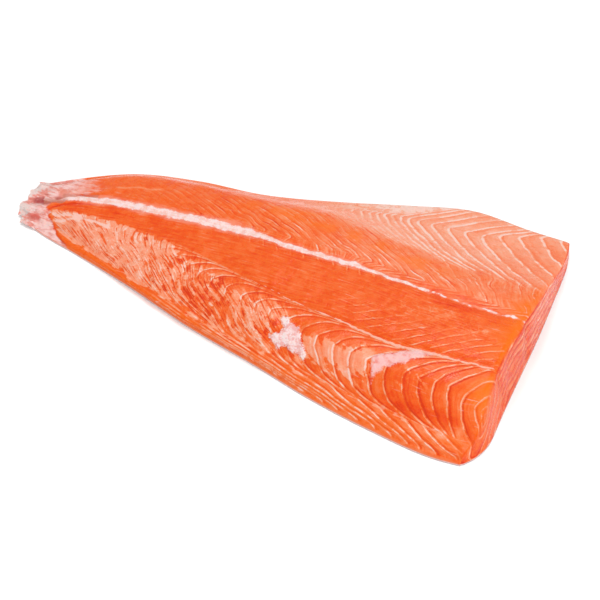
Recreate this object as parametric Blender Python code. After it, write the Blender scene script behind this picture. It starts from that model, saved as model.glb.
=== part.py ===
"""Tail half of one side of a salmon, lying skin down and cut square across at the thick end.

+X runs from the tail to the cut end, +Y from the back edge to the belly edge, +Z is up.
The origin is at the middle of the underside. All lengths are in metres.
"""
import math

import bmesh
import bpy
import numpy as np

MM = 0.001

# Stations along the fillet, tail end first, and what the fillet measures at each of them.
STATION = np.array((-170, -150, -120, -75, -30, 20, 60, 100, 140, 168)) * MM
THICKNESS = np.array((4.5, 7.5, 11.5, 17.0, 22.4, 27.6, 30.8, 34.0, 36.0, 36.0)) * MM
BACK_EDGE = np.array((-14.8, -22.3, -29.9, -42.2, -56.8, -69.1, -79.8, -87.4, -91.9, -89.3)) * MM
FLANK_LINE = np.array((-11.0, -16.0, -25.0, -40.0, -53.0, -64.7, -71.7, -77.8, -82.5, -83.3)) * MM
LOIN_LINE = np.array((-4.0, -2.0, -2.0, -6.0, -16.0, -30.5, -38.5, -46.0, -45.0, -44.5)) * MM
SPINE_LINE = np.array((3.0, 7.4, 10.5, 11.0, 10.0, 6.0, 3.7, -1.9, -4.6, -3.4)) * MM
BELLY_LINE = np.array((10.0, 23.0, 36.4, 42.2, 41.4, 42.3, 34.1, 26.4, 25.1, 24.7)) * MM
BELLY_EDGE = np.array((16.0, 30.0, 47.0, 57.8, 62.0, 74.8, 87.6, 98.4, 95.0, 93.8)) * MM

# Height of each line as a share of the thickness, at the tail, the middle and the cut end.
SHARE_AT = np.array((-170, 0, 168)) * MM
FLANK_SHARE = (0.55, 0.34, 0.34)
LOIN_SHARE = (0.80, 0.85, 0.98)
BELLY_SHARE = (0.88, 0.88, 0.86)
BACK_LIP = 3.0 * MM
BELLY_LIP_TAIL = 3.0 * MM
BELLY_LIP_CUT = 8.0 * MM

# Fullness of the flank and hollow of the belly between their lines, as shares of the thickness.
FLANK_FULLNESS = 0.13
BELLY_HOLLOW = 0.06

# The cut end leans outward toward the floor and stands back at the loin. Both its corners are rounded.
CUT_X = 169.0 * MM
CUT_LEAN_BACK = 0.21
CUT_LEAN_BELLY = 0.08
CUT_SETBACK = 2.2 * MM
BACK_CORNER_Y = -62 * MM
BACK_CORNER_DEPTH = 10.5 * MM
BACK_CORNER_POWER = 2.5
BELLY_CORNER_Y = 70 * MM
BELLY_CORNER_DEPTH = 4.5 * MM
CORNER_REACH = 28 * MM
TAIL_X = -172.5 * MM
TAIL_SLANT = 9.0 * MM
TAIL_RAGGED = 1.4 * MM

# Shallow grooves and flakes in the upper face.
GROOVE_DEPTH = 1.0 * MM
GROOVE_HALF_WIDTH = 3.0 * MM
SEAM_DEPTH = 0.8 * MM
SEAM_HALF_WIDTH = 2.6 * MM
SEAM_START = -30 * MM
FLAKE_DEPTH = 0.45 * MM
FLAKE_PITCH = 10.4 * MM
LOIN_FLAKE_START = 20 * MM
BELLY_FLAKE_START = 45 * MM
BELLY_TIP_Y = 68 * MM
BELLY_TIP_ROUND = 2.5 * MM
TEAR_DEPTH = 1.0 * MM
TEARS = ((37 * MM, -54 * MM, 8.5 * MM), (98 * MM, -57 * MM, 9.5 * MM))
UNDULATION = 0.5 * MM
SEED = 7

# Mesh: lines 0 to 5 are the back edge, flank, loin, spine, belly line and belly edge.
LINES = 5
COLUMNS_TAIL = 34
COLUMNS_CUT = 66
ROWS = 40
WALL_RINGS = 3
WALL_INSET = 1.2 * MM

COLOUR = (0.95, 0.205, 0.09, 1.0)
ROUGHNESS = 0.36


def clear_scene():
    for thing in list(bpy.data.objects):
        bpy.data.objects.remove(thing, do_unlink=True)


def smooth(x):
    x = np.clip(x, 0.0, 1.0)
    return x * x * (3 - 2 * x)


def curve_slopes(knots, values):
    gaps = np.diff(knots)
    rise = np.diff(values, axis=-1) / gaps
    slopes = np.empty_like(values)
    slopes[..., 0] = rise[..., 0]
    slopes[..., -1] = rise[..., -1]
    weighted = rise[..., :-1] * gaps[1:] + rise[..., 1:] * gaps[:-1]
    slopes[..., 1:-1] = weighted / (gaps[1:] + gaps[:-1])
    return slopes


def hermite(a, b, slope_a, slope_b, t):
    rise = (3 - 2 * t) * t * t
    return a + rise * (b - a) + t * (1 - t) * ((1 - t) * slope_a - t * slope_b)


def along(values, x):
    """A line's value at each x, on one smooth curve through its stations."""
    i = np.clip(np.searchsorted(STATION, x) - 1, 0, len(STATION) - 2)
    gap = STATION[i + 1] - STATION[i]
    slopes = curve_slopes(STATION, values)
    t = (x - STATION[i]) / gap
    return hermite(values[..., i], values[..., i + 1], slopes[..., i] * gap, slopes[..., i + 1] * gap, t)


def line_heights():
    rows = [np.linspace(BACK_LIP * 0.7, BACK_LIP, len(STATION))]
    for share in (FLANK_SHARE, LOIN_SHARE, (1.0, 1.0, 1.0), BELLY_SHARE):
        rows.append(THICKNESS * np.interp(STATION, SHARE_AT, share))
    rows.append(np.interp(STATION, (TAIL_X, CUT_X), (BELLY_LIP_TAIL, BELLY_LIP_CUT)))
    return np.array(rows)


LINE_Y = np.array((BACK_EDGE, FLANK_LINE, LOIN_LINE, SPINE_LINE, BELLY_LINE, BELLY_EDGE))
LINE_Z = line_heights()


def across(rows, v):
    """Each point's value at v, on one smooth curve through the six lines of its section."""
    slopes = np.empty_like(rows)
    slopes[0] = rows[1] - rows[0]
    slopes[-1] = rows[-1] - rows[-2]
    slopes[1:-1] = (rows[2:] - rows[:-2]) / 2
    i = np.clip(v.astype(int), 0, LINES - 1)
    k = np.arange(v.size)
    return hermite(rows[i, k], rows[i + 1, k], slopes[i, k], slopes[i + 1, k], v - i)


def form(x, v):
    """The smooth upper face: y and z at each x, v."""
    y = across(along(LINE_Y, x), v)
    z = across(along(LINE_Z, x), v)
    thickness = along(THICKNESS, x)
    swell = np.sin(math.pi * v) ** 2
    z = z + FLANK_FULLNESS * thickness * swell * ((v > 1) & (v < 2))
    z = z - BELLY_HOLLOW * thickness * swell * (v > 4)
    return y, z


def groove(distance, half_width):
    return np.exp(-(distance / half_width) ** 2)


def flake(phase):
    """Rounded flakes with a sharp furrow where one meets the next."""
    return np.abs(np.sin(math.pi * phase)) - 0.6


def loin_phase(x, v):
    t = v - 1.6
    sweep = np.where(t > 0, 181 * MM, 51 * MM) * t * t
    return (x - sweep) / FLAKE_PITCH


def belly_phase(x, y):
    away = y - BELLY_TIP_Y - 0.5 * np.clip(x - 112 * MM, 0, None)
    sweep = 0.9 * (np.sqrt(away ** 2 + BELLY_TIP_ROUND ** 2) - BELLY_TIP_ROUND)
    return (x - sweep) / FLAKE_PITCH


def undulation(x, y):
    rng = np.random.default_rng(SEED)
    total = np.zeros_like(x)
    for wave in range(6):
        pitch = rng.uniform(35, 80) * MM
        heading = rng.uniform(0, math.pi)
        start = rng.uniform(0, 2 * math.pi)
        total += np.sin((x * math.cos(heading) + y * math.sin(heading)) * 2 * math.pi / pitch + start)
    return total / 3


def relief(x, y, v):
    spine_y = along(SPINE_LINE, x)
    loin_y = along(LOIN_LINE, x)
    dz = -GROOVE_DEPTH * groove(y - spine_y, GROOVE_HALF_WIDTH)
    seam = smooth((x - SEAM_START) / (40 * MM))
    dz -= SEAM_DEPTH * seam * groove(y - loin_y, SEAM_HALF_WIDTH)
    loin = smooth((v - 1.0) * 5) * smooth((2.0 - v) * 8) * smooth((x - LOIN_FLAKE_START) / (40 * MM))
    dz += FLAKE_DEPTH * loin * flake(loin_phase(x, v))
    belly = smooth((v - 4.0) * 4) * smooth((x - BELLY_FLAKE_START) / (40 * MM))
    dz += FLAKE_DEPTH * belly * flake(belly_phase(x, y))
    for tear_x, tear_y, reach in TEARS:
        dz -= TEAR_DEPTH * groove(np.hypot(x - tear_x, y - tear_y), reach)
    inside = smooth(v * 3) * smooth((LINES - v) * 3)
    return (dz + UNDULATION * undulation(x, y)) * inside


def cut_floor_x(y):
    back = np.clip((BACK_CORNER_Y - y) / CORNER_REACH, 0, None)
    belly = np.clip((y - BELLY_CORNER_Y) / CORNER_REACH, 0, None)
    return CUT_X - BACK_CORNER_DEPTH * back ** BACK_CORNER_POWER - BELLY_CORNER_DEPTH * belly ** 2


def cut_x(y, z):
    toward_belly = smooth((y + 60 * MM) / (90 * MM))
    lean = CUT_LEAN_BACK + (CUT_LEAN_BELLY - CUT_LEAN_BACK) * toward_belly
    return cut_floor_x(y) - CUT_SETBACK * (1 - toward_belly) - lean * z


def tail_x(v):
    ragged = np.sin(v * 5.1 + 0.6) + 0.6 * np.sin(v * 11.7 + 2.0)
    return TAIL_X + TAIL_SLANT * (1 - v / LINES) ** 2 + TAIL_RAGGED * (ragged + 1.2) * 0.5


def cut_ends(v):
    """Where each line across meets the cut end, found by a few steps."""
    x = np.full_like(v, CUT_X - 6 * MM)
    for _ in range(8):
        y, z = form(x, v)
        x = cut_x(y, z)
    return x


def upper_face():
    tail_steps = np.linspace(0, 0.5, COLUMNS_TAIL, endpoint=False)
    cut_steps = np.linspace(0.5, 1.0, COLUMNS_CUT + 1)
    u = np.concatenate((tail_steps, cut_steps))
    v = np.linspace(0, LINES, ROWS + 1)
    start = tail_x(v)
    end = cut_ends(v)
    x = start + u[:, None] * (end - start)
    vv = np.broadcast_to(v, x.shape).ravel()
    y, z = form(x.ravel(), vv)
    z = z + relief(x.ravel(), y, vv)
    return np.stack((x, y.reshape(x.shape), z.reshape(x.shape)), axis=-1)


def wall_point(rim, outward, is_cut, share):
    """A point of the wall under a rim point, share 0 at the rim and 1 on the floor."""
    x, y, z = rim
    height = z * (1 - share)
    if is_cut:
        return (x + float(cut_x(y, height) - cut_x(y, z)), y, height)
    tuck = WALL_INSET * share ** 2
    return (x - outward[0] * tuck, y - outward[1] * tuck, height)


def rim_loop(columns, rows):
    loop = [(i, 0) for i in range(columns)]
    loop += [(columns - 1, j) for j in range(1, rows)]
    loop += [(i, rows - 1) for i in range(columns - 2, -1, -1)]
    loop += [(0, j) for j in range(rows - 2, 0, -1)]
    return loop


def rim_outward(index, columns, rows):
    i, j = index
    sideways = -1.0 if j == 0 else (1.0 if j == rows - 1 else 0.0)
    endways = -1.0 if i == 0 else 0.0
    length = math.hypot(sideways, endways) or 1.0
    return (endways / length, sideways / length)


def fillet_mesh():
    grid = upper_face()
    columns, rows = grid.shape[:2]
    bm = bmesh.new()
    top = [[bm.verts.new(grid[i, j]) for j in range(rows)] for i in range(columns)]
    for i in range(columns - 1):
        for j in range(rows - 1):
            bm.faces.new((top[i][j], top[i + 1][j], top[i + 1][j + 1], top[i][j + 1]))
    loop = rim_loop(columns, rows)
    ring = [top[i][j] for i, j in loop]
    for step in range(1, WALL_RINGS + 1):
        below = []
        for index in loop:
            is_cut = index[0] == columns - 1
            outward = rim_outward(index, columns, rows)
            place = wall_point(grid[index], outward, is_cut, step / WALL_RINGS)
            below.append(bm.verts.new(place))
        for k in range(len(ring)):
            n = (k + 1) % len(ring)
            bm.faces.new((ring[k], below[k], below[n], ring[n]))
        ring = below
    bm.faces.new(list(reversed(ring)))
    bmesh.ops.recalc_face_normals(bm, faces=bm.faces)
    centre_on_origin(bm)
    return bm


def centre_on_origin(bm):
    xs = [vert.co.x for vert in bm.verts]
    ys = [vert.co.y for vert in bm.verts]
    shift = (-(min(xs) + max(xs)) / 2, -(min(ys) + max(ys)) / 2, 0.0)
    bmesh.ops.translate(bm, vec=shift, verts=bm.verts)


def flesh_material():
    material = bpy.data.materials.new("salmon_flesh")
    material.use_nodes = True
    shader = material.node_tree.nodes["Principled BSDF"]
    shader.inputs["Base Color"].default_value = COLOUR
    shader.inputs["Roughness"].default_value = ROUGHNESS
    shader.inputs["Metallic"].default_value = 0.0
    material.diffuse_color = COLOUR
    return material


def add_fillet():
    mesh = bpy.data.meshes.new("fillet")
    bm = fillet_mesh()
    bm.to_mesh(mesh)
    bm.free()
    for polygon in mesh.polygons:
        polygon.use_smooth = True
    mesh.materials.append(flesh_material())
    fillet = bpy.data.objects.new("fillet", mesh)
    bpy.context.scene.collection.objects.link(fillet)
    return fillet


clear_scene()
add_fillet()
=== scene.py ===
"""Dresses the salmon fillet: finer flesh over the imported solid's form, its skin, and a pale studio."""
import math

import bmesh
import bpy
import numpy as np
from mathutils import Matrix, Vector


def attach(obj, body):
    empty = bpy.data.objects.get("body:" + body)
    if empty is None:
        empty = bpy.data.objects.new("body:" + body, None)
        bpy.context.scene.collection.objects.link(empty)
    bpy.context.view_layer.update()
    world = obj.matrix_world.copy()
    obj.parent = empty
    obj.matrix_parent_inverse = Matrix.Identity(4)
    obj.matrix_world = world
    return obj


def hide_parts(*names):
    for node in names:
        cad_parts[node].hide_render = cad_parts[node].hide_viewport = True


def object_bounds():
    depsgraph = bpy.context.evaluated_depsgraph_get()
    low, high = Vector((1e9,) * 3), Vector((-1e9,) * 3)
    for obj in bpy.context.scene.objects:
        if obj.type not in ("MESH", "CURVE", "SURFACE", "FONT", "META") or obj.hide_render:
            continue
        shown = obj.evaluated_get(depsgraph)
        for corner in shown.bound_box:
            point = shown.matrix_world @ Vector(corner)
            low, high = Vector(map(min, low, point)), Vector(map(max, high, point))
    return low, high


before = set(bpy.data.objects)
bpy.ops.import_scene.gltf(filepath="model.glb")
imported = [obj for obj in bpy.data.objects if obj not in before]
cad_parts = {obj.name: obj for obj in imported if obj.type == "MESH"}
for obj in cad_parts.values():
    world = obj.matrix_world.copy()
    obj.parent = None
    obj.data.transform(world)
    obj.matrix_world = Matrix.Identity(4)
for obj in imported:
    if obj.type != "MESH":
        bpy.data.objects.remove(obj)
CAD_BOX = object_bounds()

MM = 0.001

# The fillet's form: stations along it and its measures there, as in the solid.
STATION = np.array((-170, -150, -120, -75, -30, 20, 60, 100, 140, 168)) * MM
THICKNESS = np.array((4.5, 7.5, 11.5, 17.0, 22.4, 27.6, 30.8, 34.0, 36.0, 36.0)) * MM
BACK_EDGE = np.array((-14.8, -22.3, -29.9, -42.2, -56.8, -69.1, -79.8, -87.4, -91.9, -89.3)) * MM
FLANK_LINE = np.array((-11.0, -16.0, -25.0, -40.0, -53.0, -64.7, -71.7, -77.8, -82.5, -83.3)) * MM
LOIN_LINE = np.array((-4.0, -2.0, -2.0, -6.0, -16.0, -30.5, -38.5, -46.0, -45.0, -44.5)) * MM
SPINE_LINE = np.array((3.0, 7.4, 10.5, 11.0, 10.0, 6.0, 3.7, -1.9, -4.6, -3.4)) * MM
BELLY_LINE = np.array((10.0, 23.0, 36.4, 42.2, 41.4, 42.3, 34.1, 26.4, 25.1, 24.7)) * MM
BELLY_EDGE = np.array((16.0, 30.0, 47.0, 57.8, 62.0, 74.8, 87.6, 98.4, 95.0, 93.8)) * MM
SHARE_AT = np.array((-170, 0, 168)) * MM
FLANK_SHARE = (0.55, 0.34, 0.34)
LOIN_SHARE = (0.80, 0.85, 0.98)
BELLY_SHARE = (0.88, 0.88, 0.86)
BACK_LIP = 3.0 * MM
BELLY_LIP_TAIL = 3.0 * MM
BELLY_LIP_CUT = 8.0 * MM
FLANK_FULLNESS = 0.13
BELLY_HOLLOW = 0.06
CUT_X = 169.0 * MM
CUT_LEAN_BACK = 0.21
CUT_LEAN_BELLY = 0.08
CUT_SETBACK = 2.2 * MM
BACK_CORNER_Y = -62 * MM
BACK_CORNER_DEPTH = 10.5 * MM
BACK_CORNER_POWER = 2.5
BELLY_CORNER_Y = 70 * MM
BELLY_CORNER_DEPTH = 4.5 * MM
CORNER_REACH = 28 * MM
TAIL_X = -172.5 * MM
TAIL_SLANT = 9.0 * MM
TAIL_RAGGED = 1.4 * MM

# Across the fillet, v runs from 0 at the back edge to LINES at the belly edge, and is whole on each line.
LINES = 5

# Fineness of the flesh mesh: columns on the upper face and down the cut end, rows across.
TOP_COLUMNS = 388
CUT_COLUMNS = 36
ROWS = 212
WALL_RINGS = 4
WALL_BULGE = 0.3 * MM
EDGE_INSET = 0.5 * MM
FOLD_COLUMNS = 3.5
LOIN_FOLD_COLUMNS = 11.0
FOLD_PASSES = 30
FLESH_FLOOR = 0.5 * MM
CUT_FOOT = 1.2 * MM

# The skin: fineness, height and reach of its rim, and its scales, whose pitch is in millimetres.
SKIN_COLUMNS = 190
SKIN_ROWS = 104
SKIN_TOP = 1.1 * MM
SKIN_OUT = 0.4 * MM
SCALE_PITCH = 3.4
SCALE_HEIGHT = 0.12 * MM

# Where the flake lines have their tips, in millimetres from the middle, tail side first.
LOIN_TIPS = (-68, -57, -46, -35, -24, -13, -2, 9, 20, 31, 42, 53, 63.5, 74.5, 86, 98, 110, 120, 128.5, 137,
             146.5, 155, 159.5, 163.5)
BELLY_TIPS = (18, 23.5, 29, 34.5, 40, 45.3, 50.6, 55.9, 61.2, 66.8, 73.6, 82.7, 92.7, 103.6, 114, 125, 136,
              147, 158)
BACK_TIPS = (-150, -112, -78, -48, -21, 3, 26, 48, 68, 87, 103, 117, 130, 143, 156)

# From one line of flakes or stroke of the film to the next, in millimetres.
MIDDLE_PITCH = 9.0
BAND_PITCH = 10.2
WISP_PITCH = 9.0
CUT_PITCH = 5.6
FILM_PITCH = 8.0

# How high the flakes stand, in millimetres.
FLAKE_RISE = {"loin_lines": 0.45, "belly_lines": 0.4, "back_lines": 0.4, "middle_lines": 0.3,
              "band_lines": 0.25, "cut_lines": 0.35}

# The rings round the loin's end: their middle on the face rolled flat over the fold, and their spacings.
RING_X = 164.0
RING_Y = -69.0
RING_COUNT = 23.05
RING_TAIL_PITCH = 8.6
RING_DOWN_PITCH = 6.0
RING_SPINE_PITCH = 9.5
RING_BACK_PITCH = 8.0
RING_CORE = 1.05
RING_CORE_EXTRA = 0.92

# Flaps of tail membrane: root, torn end, width, rise at the end, and seed.
FLAPS = (((-150, 15.5), (-170.8, 12), 12, 1.2, 41), ((-157, 4.5), (-171.6, 3), 14, 0.9, 45),
         ((-157.5, -7.5), (-171.4, -8.5), 12, 1.2, 43), ((-152, -17), (-167.5, -15.5), 8, 0.8, 44))
FLAP_COLUMNS = 44
FLAP_ROWS = 26
FLAP_THICKNESS = 0.3 * MM
FLAP_LIFT = 0.7
FLAP_LOWEST = 1.3

# Columns of the flesh in which the flaps find their ground, and how far it ends short of the torn tail.
TAIL_COLUMNS = 50
TAIL_SHORT = 4.0 * MM

# Outlines and strokes seen on the upper face, in millimetres.
WHITE_TEAR = ((28, -45), (31, -43), (34, -47), (41, -49), (42, -52), (46, -57), (50, -62), (50, -66),
              (46, -63), (38, -61), (33, -61.5), (28, -60), (24, -56), (30, -55), (31, -50), (28, -48))
PINK_TEAR = ((89, -56), (95, -53), (101, -50), (110, -47), (122, -45.5), (115, -50.5), (107, -57),
             (101, -60), (97, -61), (95, -65), (93, -69), (91, -66), (90.5, -61))
TAIL_MUSCLE_RIM = ((-124, 6.6), (-136, 4.4), (-145, 2), (-150.5, -0.8), (-154, -4.5), (-151.5, -9),
                   (-146, -14), (-142, -17.5), (-137, -22.3), (-129, -27.5))
TAIL_HOLLOW = ((-166, -1), (-160, 2), (-154, 4.5), (-149, 5.5))
TAIL_TONGUE = ((-147, -8), (-142, -7), (-137, -5), (-127, -5))
FILM_RIM = ((-145, -12.5), (-138, -11.5), (-130, -7), (-120, -6), (-108, -8.5))
BELLY_SCAR = ((-150, 10.5), (-141, 12), (-134, 13.5), (-128, 14.5))
BELLY_SEAM = ((-118, 25.5), (-110, 27.5), (-104, 29), (-90, 31))
TAIL_FOLDS = (((-171, 9), (-164, 12), (-156, 15)), ((-170, -3), (-163, -5), (-155, -6)),
              ((-168, -12), (-160, -11), (-152, -12.5)))

# Half widths of the white spine line and the seams, its shift, and where the tail membrane ends.
CHORD_X = (-152, -140, -120, -100, -60, -25, -10, 60, 90, 140, 160)
CHORD_HALF = (1.8, 2.8, 3.1, 3.3, 3.4, 3.8, 2.4, 1.9, 1.4, 1.1, 0.8)
CHORD_SHIFT_X = (-150, -120, -60, -20, 20)
CHORD_SHIFT = (-0.4, 0.9, 1.0, 1.2, 0.0)
LOIN_SEAM_X = (-10, 20, 60, 85, 112, 150, 165)
LOIN_SEAM_HALF = (0.05, 0.35, 0.6, 0.8, 1.2, 0.7, 0.3)
FLANK_SEAM_X = (-60, 20, 80, 120, 160)
FLANK_SEAM_HALF = (0.4, 0.8, 1.2, 1.7, 2.2)
MEMBRANE_END_V = (0, 1, 1.5, 2, 2.6, 3.0, 3.25, 3.5, 4, 5)
MEMBRANE_END_X = (-127, -143, -150, -155, -157, -150, -137, -130, -140, -144)

# How pale the flesh is, from 0 to 1: in general, on the cut, on the belly, and at its deepest.
BASE_TONE = 0.35
CUT_TONE = 0.31
BELLY_TONE = 0.76
DEEPEST_TONE = 0.12

# The random table's size, and where reading it starts, so that no place is below zero.
NOISE_TABLE = (97, 89)
NOISE_START = 1000.0


def smooth(x, low=0.0, high=1.0):
    x = np.clip((x - low) / (high - low), 0.0, 1.0)
    return x * x * (3 - 2 * x)


def hermite(a, b, slope_a, slope_b, t):
    rise = (3 - 2 * t) * t * t
    return a + rise * (b - a) + t * (1 - t) * ((1 - t) * slope_a - t * slope_b)


def along(values, x):
    """A line's value at each x, on one smooth curve through its stations."""
    gaps = np.diff(STATION)
    rise = np.diff(values, axis=-1) / gaps
    slopes = np.empty_like(values)
    slopes[..., 0] = rise[..., 0]
    slopes[..., -1] = rise[..., -1]
    slopes[..., 1:-1] = (rise[..., :-1] * gaps[1:] + rise[..., 1:] * gaps[:-1]) / (gaps[1:] + gaps[:-1])
    i = np.clip(np.searchsorted(STATION, x) - 1, 0, len(STATION) - 2)
    gap = gaps[i]
    t = (x - STATION[i]) / gap
    return hermite(values[..., i], values[..., i + 1], slopes[..., i] * gap, slopes[..., i + 1] * gap, t)


def line_heights():
    rows = [np.linspace(BACK_LIP * 0.7, BACK_LIP, len(STATION))]
    for share in (FLANK_SHARE, LOIN_SHARE, (1.0, 1.0, 1.0), BELLY_SHARE):
        rows.append(THICKNESS * np.interp(STATION, SHARE_AT, share))
    rows.append(np.interp(STATION, (TAIL_X, CUT_X), (BELLY_LIP_TAIL, BELLY_LIP_CUT)))
    return np.array(rows)


LINE_Y = np.array((BACK_EDGE, FLANK_LINE, LOIN_LINE, SPINE_LINE, BELLY_LINE, BELLY_EDGE))
LINE_Z = line_heights()


def across(rows, v):
    """Each point's value at v, on one smooth curve through the six lines of its section."""
    slopes = np.empty_like(rows)
    slopes[0] = rows[1] - rows[0]
    slopes[-1] = rows[-1] - rows[-2]
    slopes[1:-1] = (rows[2:] - rows[:-2]) / 2
    i = np.clip(v.astype(int), 0, LINES - 1)
    k = np.arange(v.size)
    return hermite(rows[i, k], rows[i + 1, k], slopes[i, k], slopes[i + 1, k], v - i)


def form(x, v):
    """The smooth upper face: y and z at each x, v."""
    shape = x.shape
    x = x.ravel()
    v = v.ravel()
    y = across(along(LINE_Y, x), v)
    z = across(along(LINE_Z, x), v)
    thickness = along(THICKNESS, x)
    swell = np.sin(math.pi * v) ** 2
    z = z + FLANK_FULLNESS * thickness * swell * ((v > 1) & (v < 2))
    z = z - BELLY_HOLLOW * thickness * swell * (v > 4)
    return y.reshape(shape), z.reshape(shape)


def cut_x(y, z):
    back = np.clip((BACK_CORNER_Y - y) / CORNER_REACH, 0, None)
    belly = np.clip((y - BELLY_CORNER_Y) / CORNER_REACH, 0, None)
    floor_x = CUT_X - BACK_CORNER_DEPTH * back ** BACK_CORNER_POWER - BELLY_CORNER_DEPTH * belly ** 2
    toward_belly = smooth(y, -60 * MM, 30 * MM)
    lean = CUT_LEAN_BACK + (CUT_LEAN_BELLY - CUT_LEAN_BACK) * toward_belly
    return floor_x - CUT_SETBACK * (1 - toward_belly) - lean * z


def tail_x(v):
    ragged = np.sin(v * 5.1 + 0.6) + 0.6 * np.sin(v * 11.7 + 2.0)
    return TAIL_X + TAIL_SLANT * (1 - v / LINES) ** 2 + TAIL_RAGGED * (ragged + 1.2) * 0.5


def cut_ends(v):
    x = np.full_like(v, CUT_X - 6 * MM)
    for _ in range(8):
        y, z = form(x, v)
        x = cut_x(y, z)
    return x


def noise(x, y, pitch, seed):
    """Smooth random values from -1 to 1 that change over about one pitch, all in millimetres."""
    columns, rows = NOISE_TABLE
    table = np.random.default_rng(seed).uniform(-1, 1, NOISE_TABLE)
    u = x / pitch + NOISE_START
    w = y / pitch + NOISE_START
    i = np.floor(u).astype(int)
    j = np.floor(w).astype(int)
    s = smooth(u - i)
    t = smooth(w - j)

    def at(a, b):
        return table[(i + a) % columns, (j + b) % rows]
    return (at(0, 0) * (1 - s) + at(1, 0) * s) * (1 - t) + (at(0, 1) * (1 - s) + at(1, 1) * s) * t


def stroke_distance(x, y, points):
    """Distance in millimetres to a stroke through these points."""
    nearest = np.full(x.shape, 1e9)
    for (ax, ay), (bx, by) in zip(points, points[1:]):
        share = ((x - ax) * (bx - ax) + (y - ay) * (by - ay)) / ((bx - ax) ** 2 + (by - ay) ** 2)
        share = np.clip(share, 0, 1)
        nearest = np.minimum(nearest, np.hypot(x - ax - share * (bx - ax), y - ay - share * (by - ay)))
    return nearest


def outline_distance(x, y, outline):
    """Distance in millimetres to a closed outline, positive inside it."""
    nearest = stroke_distance(x, y, outline + outline[:1])
    inside = np.zeros(x.shape, bool)
    for (ax, ay), (bx, by) in zip(outline, outline[1:] + outline[:1]):
        crosses = (ay > y) != (by > y)
        inside ^= crosses & (x < (bx - ax) * (y - ay) / ((by - ay) or 1e-9) + ax)
    return np.where(inside, nearest, -nearest)


def stroke(x, y, points, width):
    return smooth(stroke_distance(x, y, points), width, width * 0.3)


def spot(x, y, place, size):
    return np.exp(-((x - place[0]) / size[0]) ** 2 - ((y - place[1]) / size[1]) ** 2)


def tip_count(s, tips):
    """Which flake line passes, as a running number: whole numbers lie on the lines."""
    tips = np.asarray(tips, float)
    count = np.interp(s, tips, np.arange(len(tips)))
    count = np.where(s < tips[0], (s - tips[0]) / (tips[1] - tips[0]), count)
    return np.where(s > tips[-1], len(tips) - 1 + (s - tips[-1]) / (tips[-1] - tips[-2]), count)


def loin_count(x, v):
    t = v - 1
    tip = 0.58 + 0.10 * smooth(70 - x, 0, 60)
    past = np.clip((t - tip) / (1 - tip), 0, 0.985)
    upper = -(10.6 - 1.3 * smooth(100 - x, 0, 60)) * np.log(1 - past)
    lower = 47 * np.clip(tip - t, 0, None) ** 2 - 5 * np.log(np.clip(t / 0.16, 0.03, 1))
    return tip_count(x - upper - lower, LOIN_TIPS)


def belly_count(x, y, belly_line):
    s = x.copy()
    for _ in range(6):
        away = y - 71 - 0.5 * np.clip(s - 112, 0, 40) + 0.22 * np.clip(62 - s, 0, 60)
        upper = (1.15 + 0.9 * smooth(s, 70, 20)) * (np.sqrt(away ** 2 + 6) - 2.4)
        lower = 0.97 * (np.sqrt(away ** 2 + 12) - 3.4)
        sweep = np.where(away > 0, upper, lower) + 0.038 * np.clip(belly_line + 18 - y, 0, None) ** 2
        s = x - sweep
    return tip_count(s, BELLY_TIPS)


def back_count(x, v):
    s = x.copy()
    for _ in range(8):
        reach = 24 + 0.5 * np.clip(110 - s, 0, 180)
        s = x - reach * (1 - v * v)
    return tip_count(s, BACK_TIPS)


def middle_count(x, v):
    w = v - 3
    steep = np.interp(x, (-60, 0, 60, 85, 105, 130, 170), (72, 66, 58, 42, 24, 16, 12))
    hook = 120 * smooth(x, 40, 80)
    sweep = np.where(w > 0.2, (w - 0.2) * steep, (0.2 - w) * hook)
    return (x + sweep) / MIDDLE_PITCH


def ring_count(x, y):
    """Rings round the loin's end: pointed toward the tail, round down the cut, closest in the core."""
    lengthways = np.abs(x - RING_X) / np.where(x < RING_X, RING_TAIL_PITCH, RING_DOWN_PITCH)
    sideways = np.abs(y - RING_Y) / np.where(y > RING_Y, RING_SPINE_PITCH, RING_BACK_PITCH)
    power = np.where(x < RING_X, 1.35, 2.0)
    reach = (lengthways ** power + sideways ** power) ** (1 / power)
    return RING_COUNT - reach - RING_CORE_EXTRA * np.minimum(reach, RING_CORE)


def surface_reach(count, place):
    """Millimetres of surface from one line to the next, from how fast the count changes."""
    du = np.gradient(place, axis=0) / MM
    dv = np.gradient(place, axis=1) / MM
    pu = np.gradient(count, axis=0)
    pv = np.gradient(count, axis=1)
    e = (du * du).sum(-1)
    f = (du * dv).sum(-1)
    g = (dv * dv).sum(-1)
    slope = (g * pu ** 2 - 2 * f * pu * pv + e * pv ** 2) / np.maximum(e * g - f * f, 1e-9)
    return 1 / np.sqrt(np.maximum(slope, 1e-6))


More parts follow.
